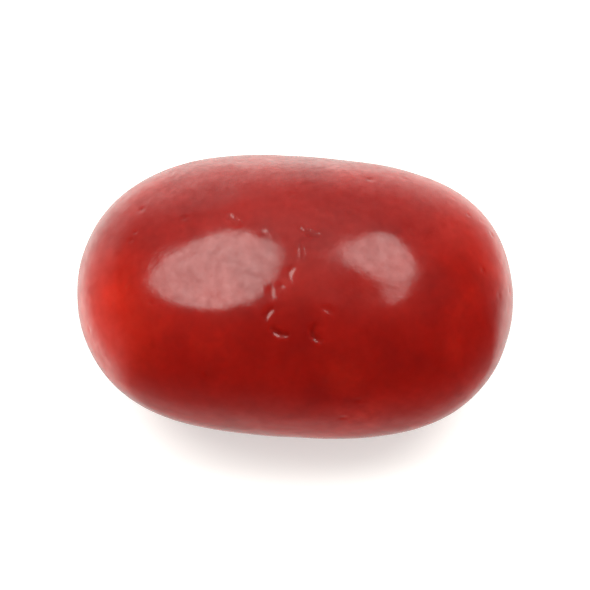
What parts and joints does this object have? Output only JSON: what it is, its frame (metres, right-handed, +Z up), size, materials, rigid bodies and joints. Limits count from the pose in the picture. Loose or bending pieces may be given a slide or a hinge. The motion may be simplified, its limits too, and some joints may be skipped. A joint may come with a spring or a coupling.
{
  "type": "jelly bean",
  "caption": "Glossy dark red jelly bean: a blunt, slightly bowed oblong sweet with an uneven panned sugar shell, lying on its side on a small flat spot.",
  "frame": {"origin": "middle of the bounding box in plan, on the flat spot under the bean, which is its lowest face", "axes": "+X along the bean towards its blunter end, +Y towards its flatter back side, +Z up"},
  "size_m": [0.016, 0.0108, 0.0091],
  "materials": {
    "shell": "polished sugar shell with a satin gloss, translucent dark red with a mottle of burgundy and orange-red, fine pits and short wrinkles"
  },
  "bodies": {
    "root": {"jelly_bean": "shell"}
  },
  "joints": []
}
